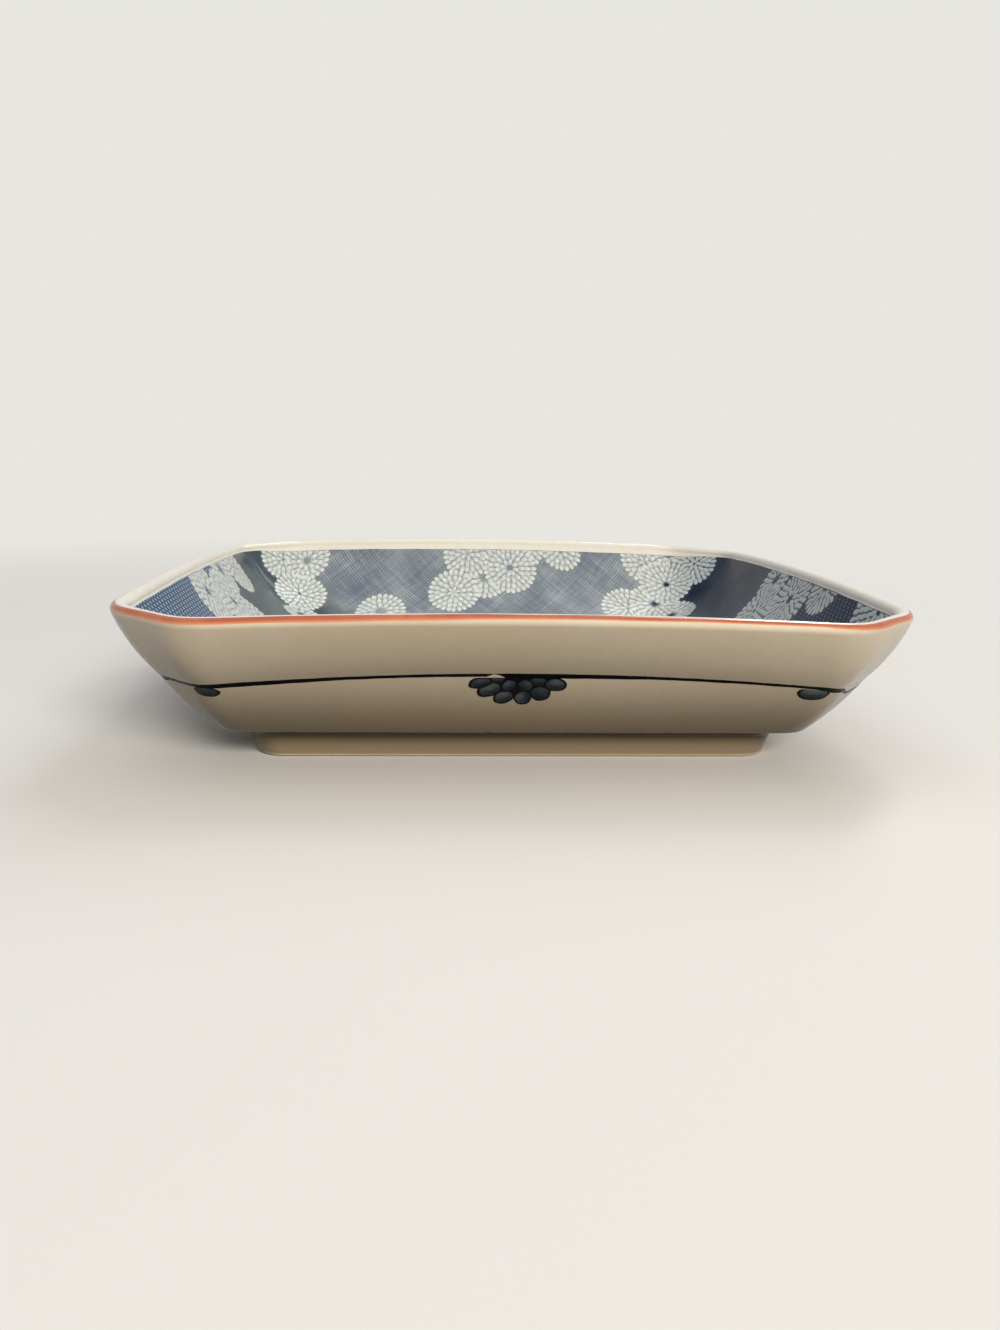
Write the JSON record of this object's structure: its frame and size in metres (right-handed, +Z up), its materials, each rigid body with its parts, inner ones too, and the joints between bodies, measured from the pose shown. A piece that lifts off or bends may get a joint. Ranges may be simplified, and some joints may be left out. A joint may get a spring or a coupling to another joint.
{
  "type": "square dish",
  "caption": "Square porcelain dish with cut corners, flared stepped walls, a square foot ring, a red lip line and a blue floral well.",
  "frame": {"origin": "on the table, under the middle of the dish", "axes": "+Z up out of the well; X and Y square to the sides, with the side that the picture shows facing -Y"},
  "size_m": [0.145, 0.145, 0.031],
  "materials": {
    "bare_porcelain": "unglazed fired porcelain, smooth and matt",
    "white_glaze": "clear gloss glaze over white porcelain",
    "blue_glaze": "underglaze blue pattern under clear gloss glaze",
    "cobalt": "brushed underglaze cobalt, gloss",
    "red_enamel": "iron red line over the glaze, satin gloss"
  },
  "bodies": {
    "root": {"porcelain_body": "bare_porcelain", "base_glaze": "white_glaze", "lower_wall_glaze": "white_glaze", "upper_wall_glaze": "white_glaze", "lip_glaze": "white_glaze", "well_blue_glaze": "blue_glaze", "shoulder_blue_line": "cobalt", "rim_red_line": "red_enamel", "flower_front": "cobalt", "end_petal_front_left": "cobalt", "end_petal_front_right": "cobalt", "flower_right": "cobalt", "end_petal_right_left": "cobalt", "end_petal_right_right": "cobalt", "flower_back": "cobalt", "end_petal_back_left": "cobalt", "end_petal_back_right": "cobalt", "flower_left": "cobalt", "end_petal_left_left": "cobalt", "end_petal_left_right": "cobalt"}
  },
  "joints": []
}
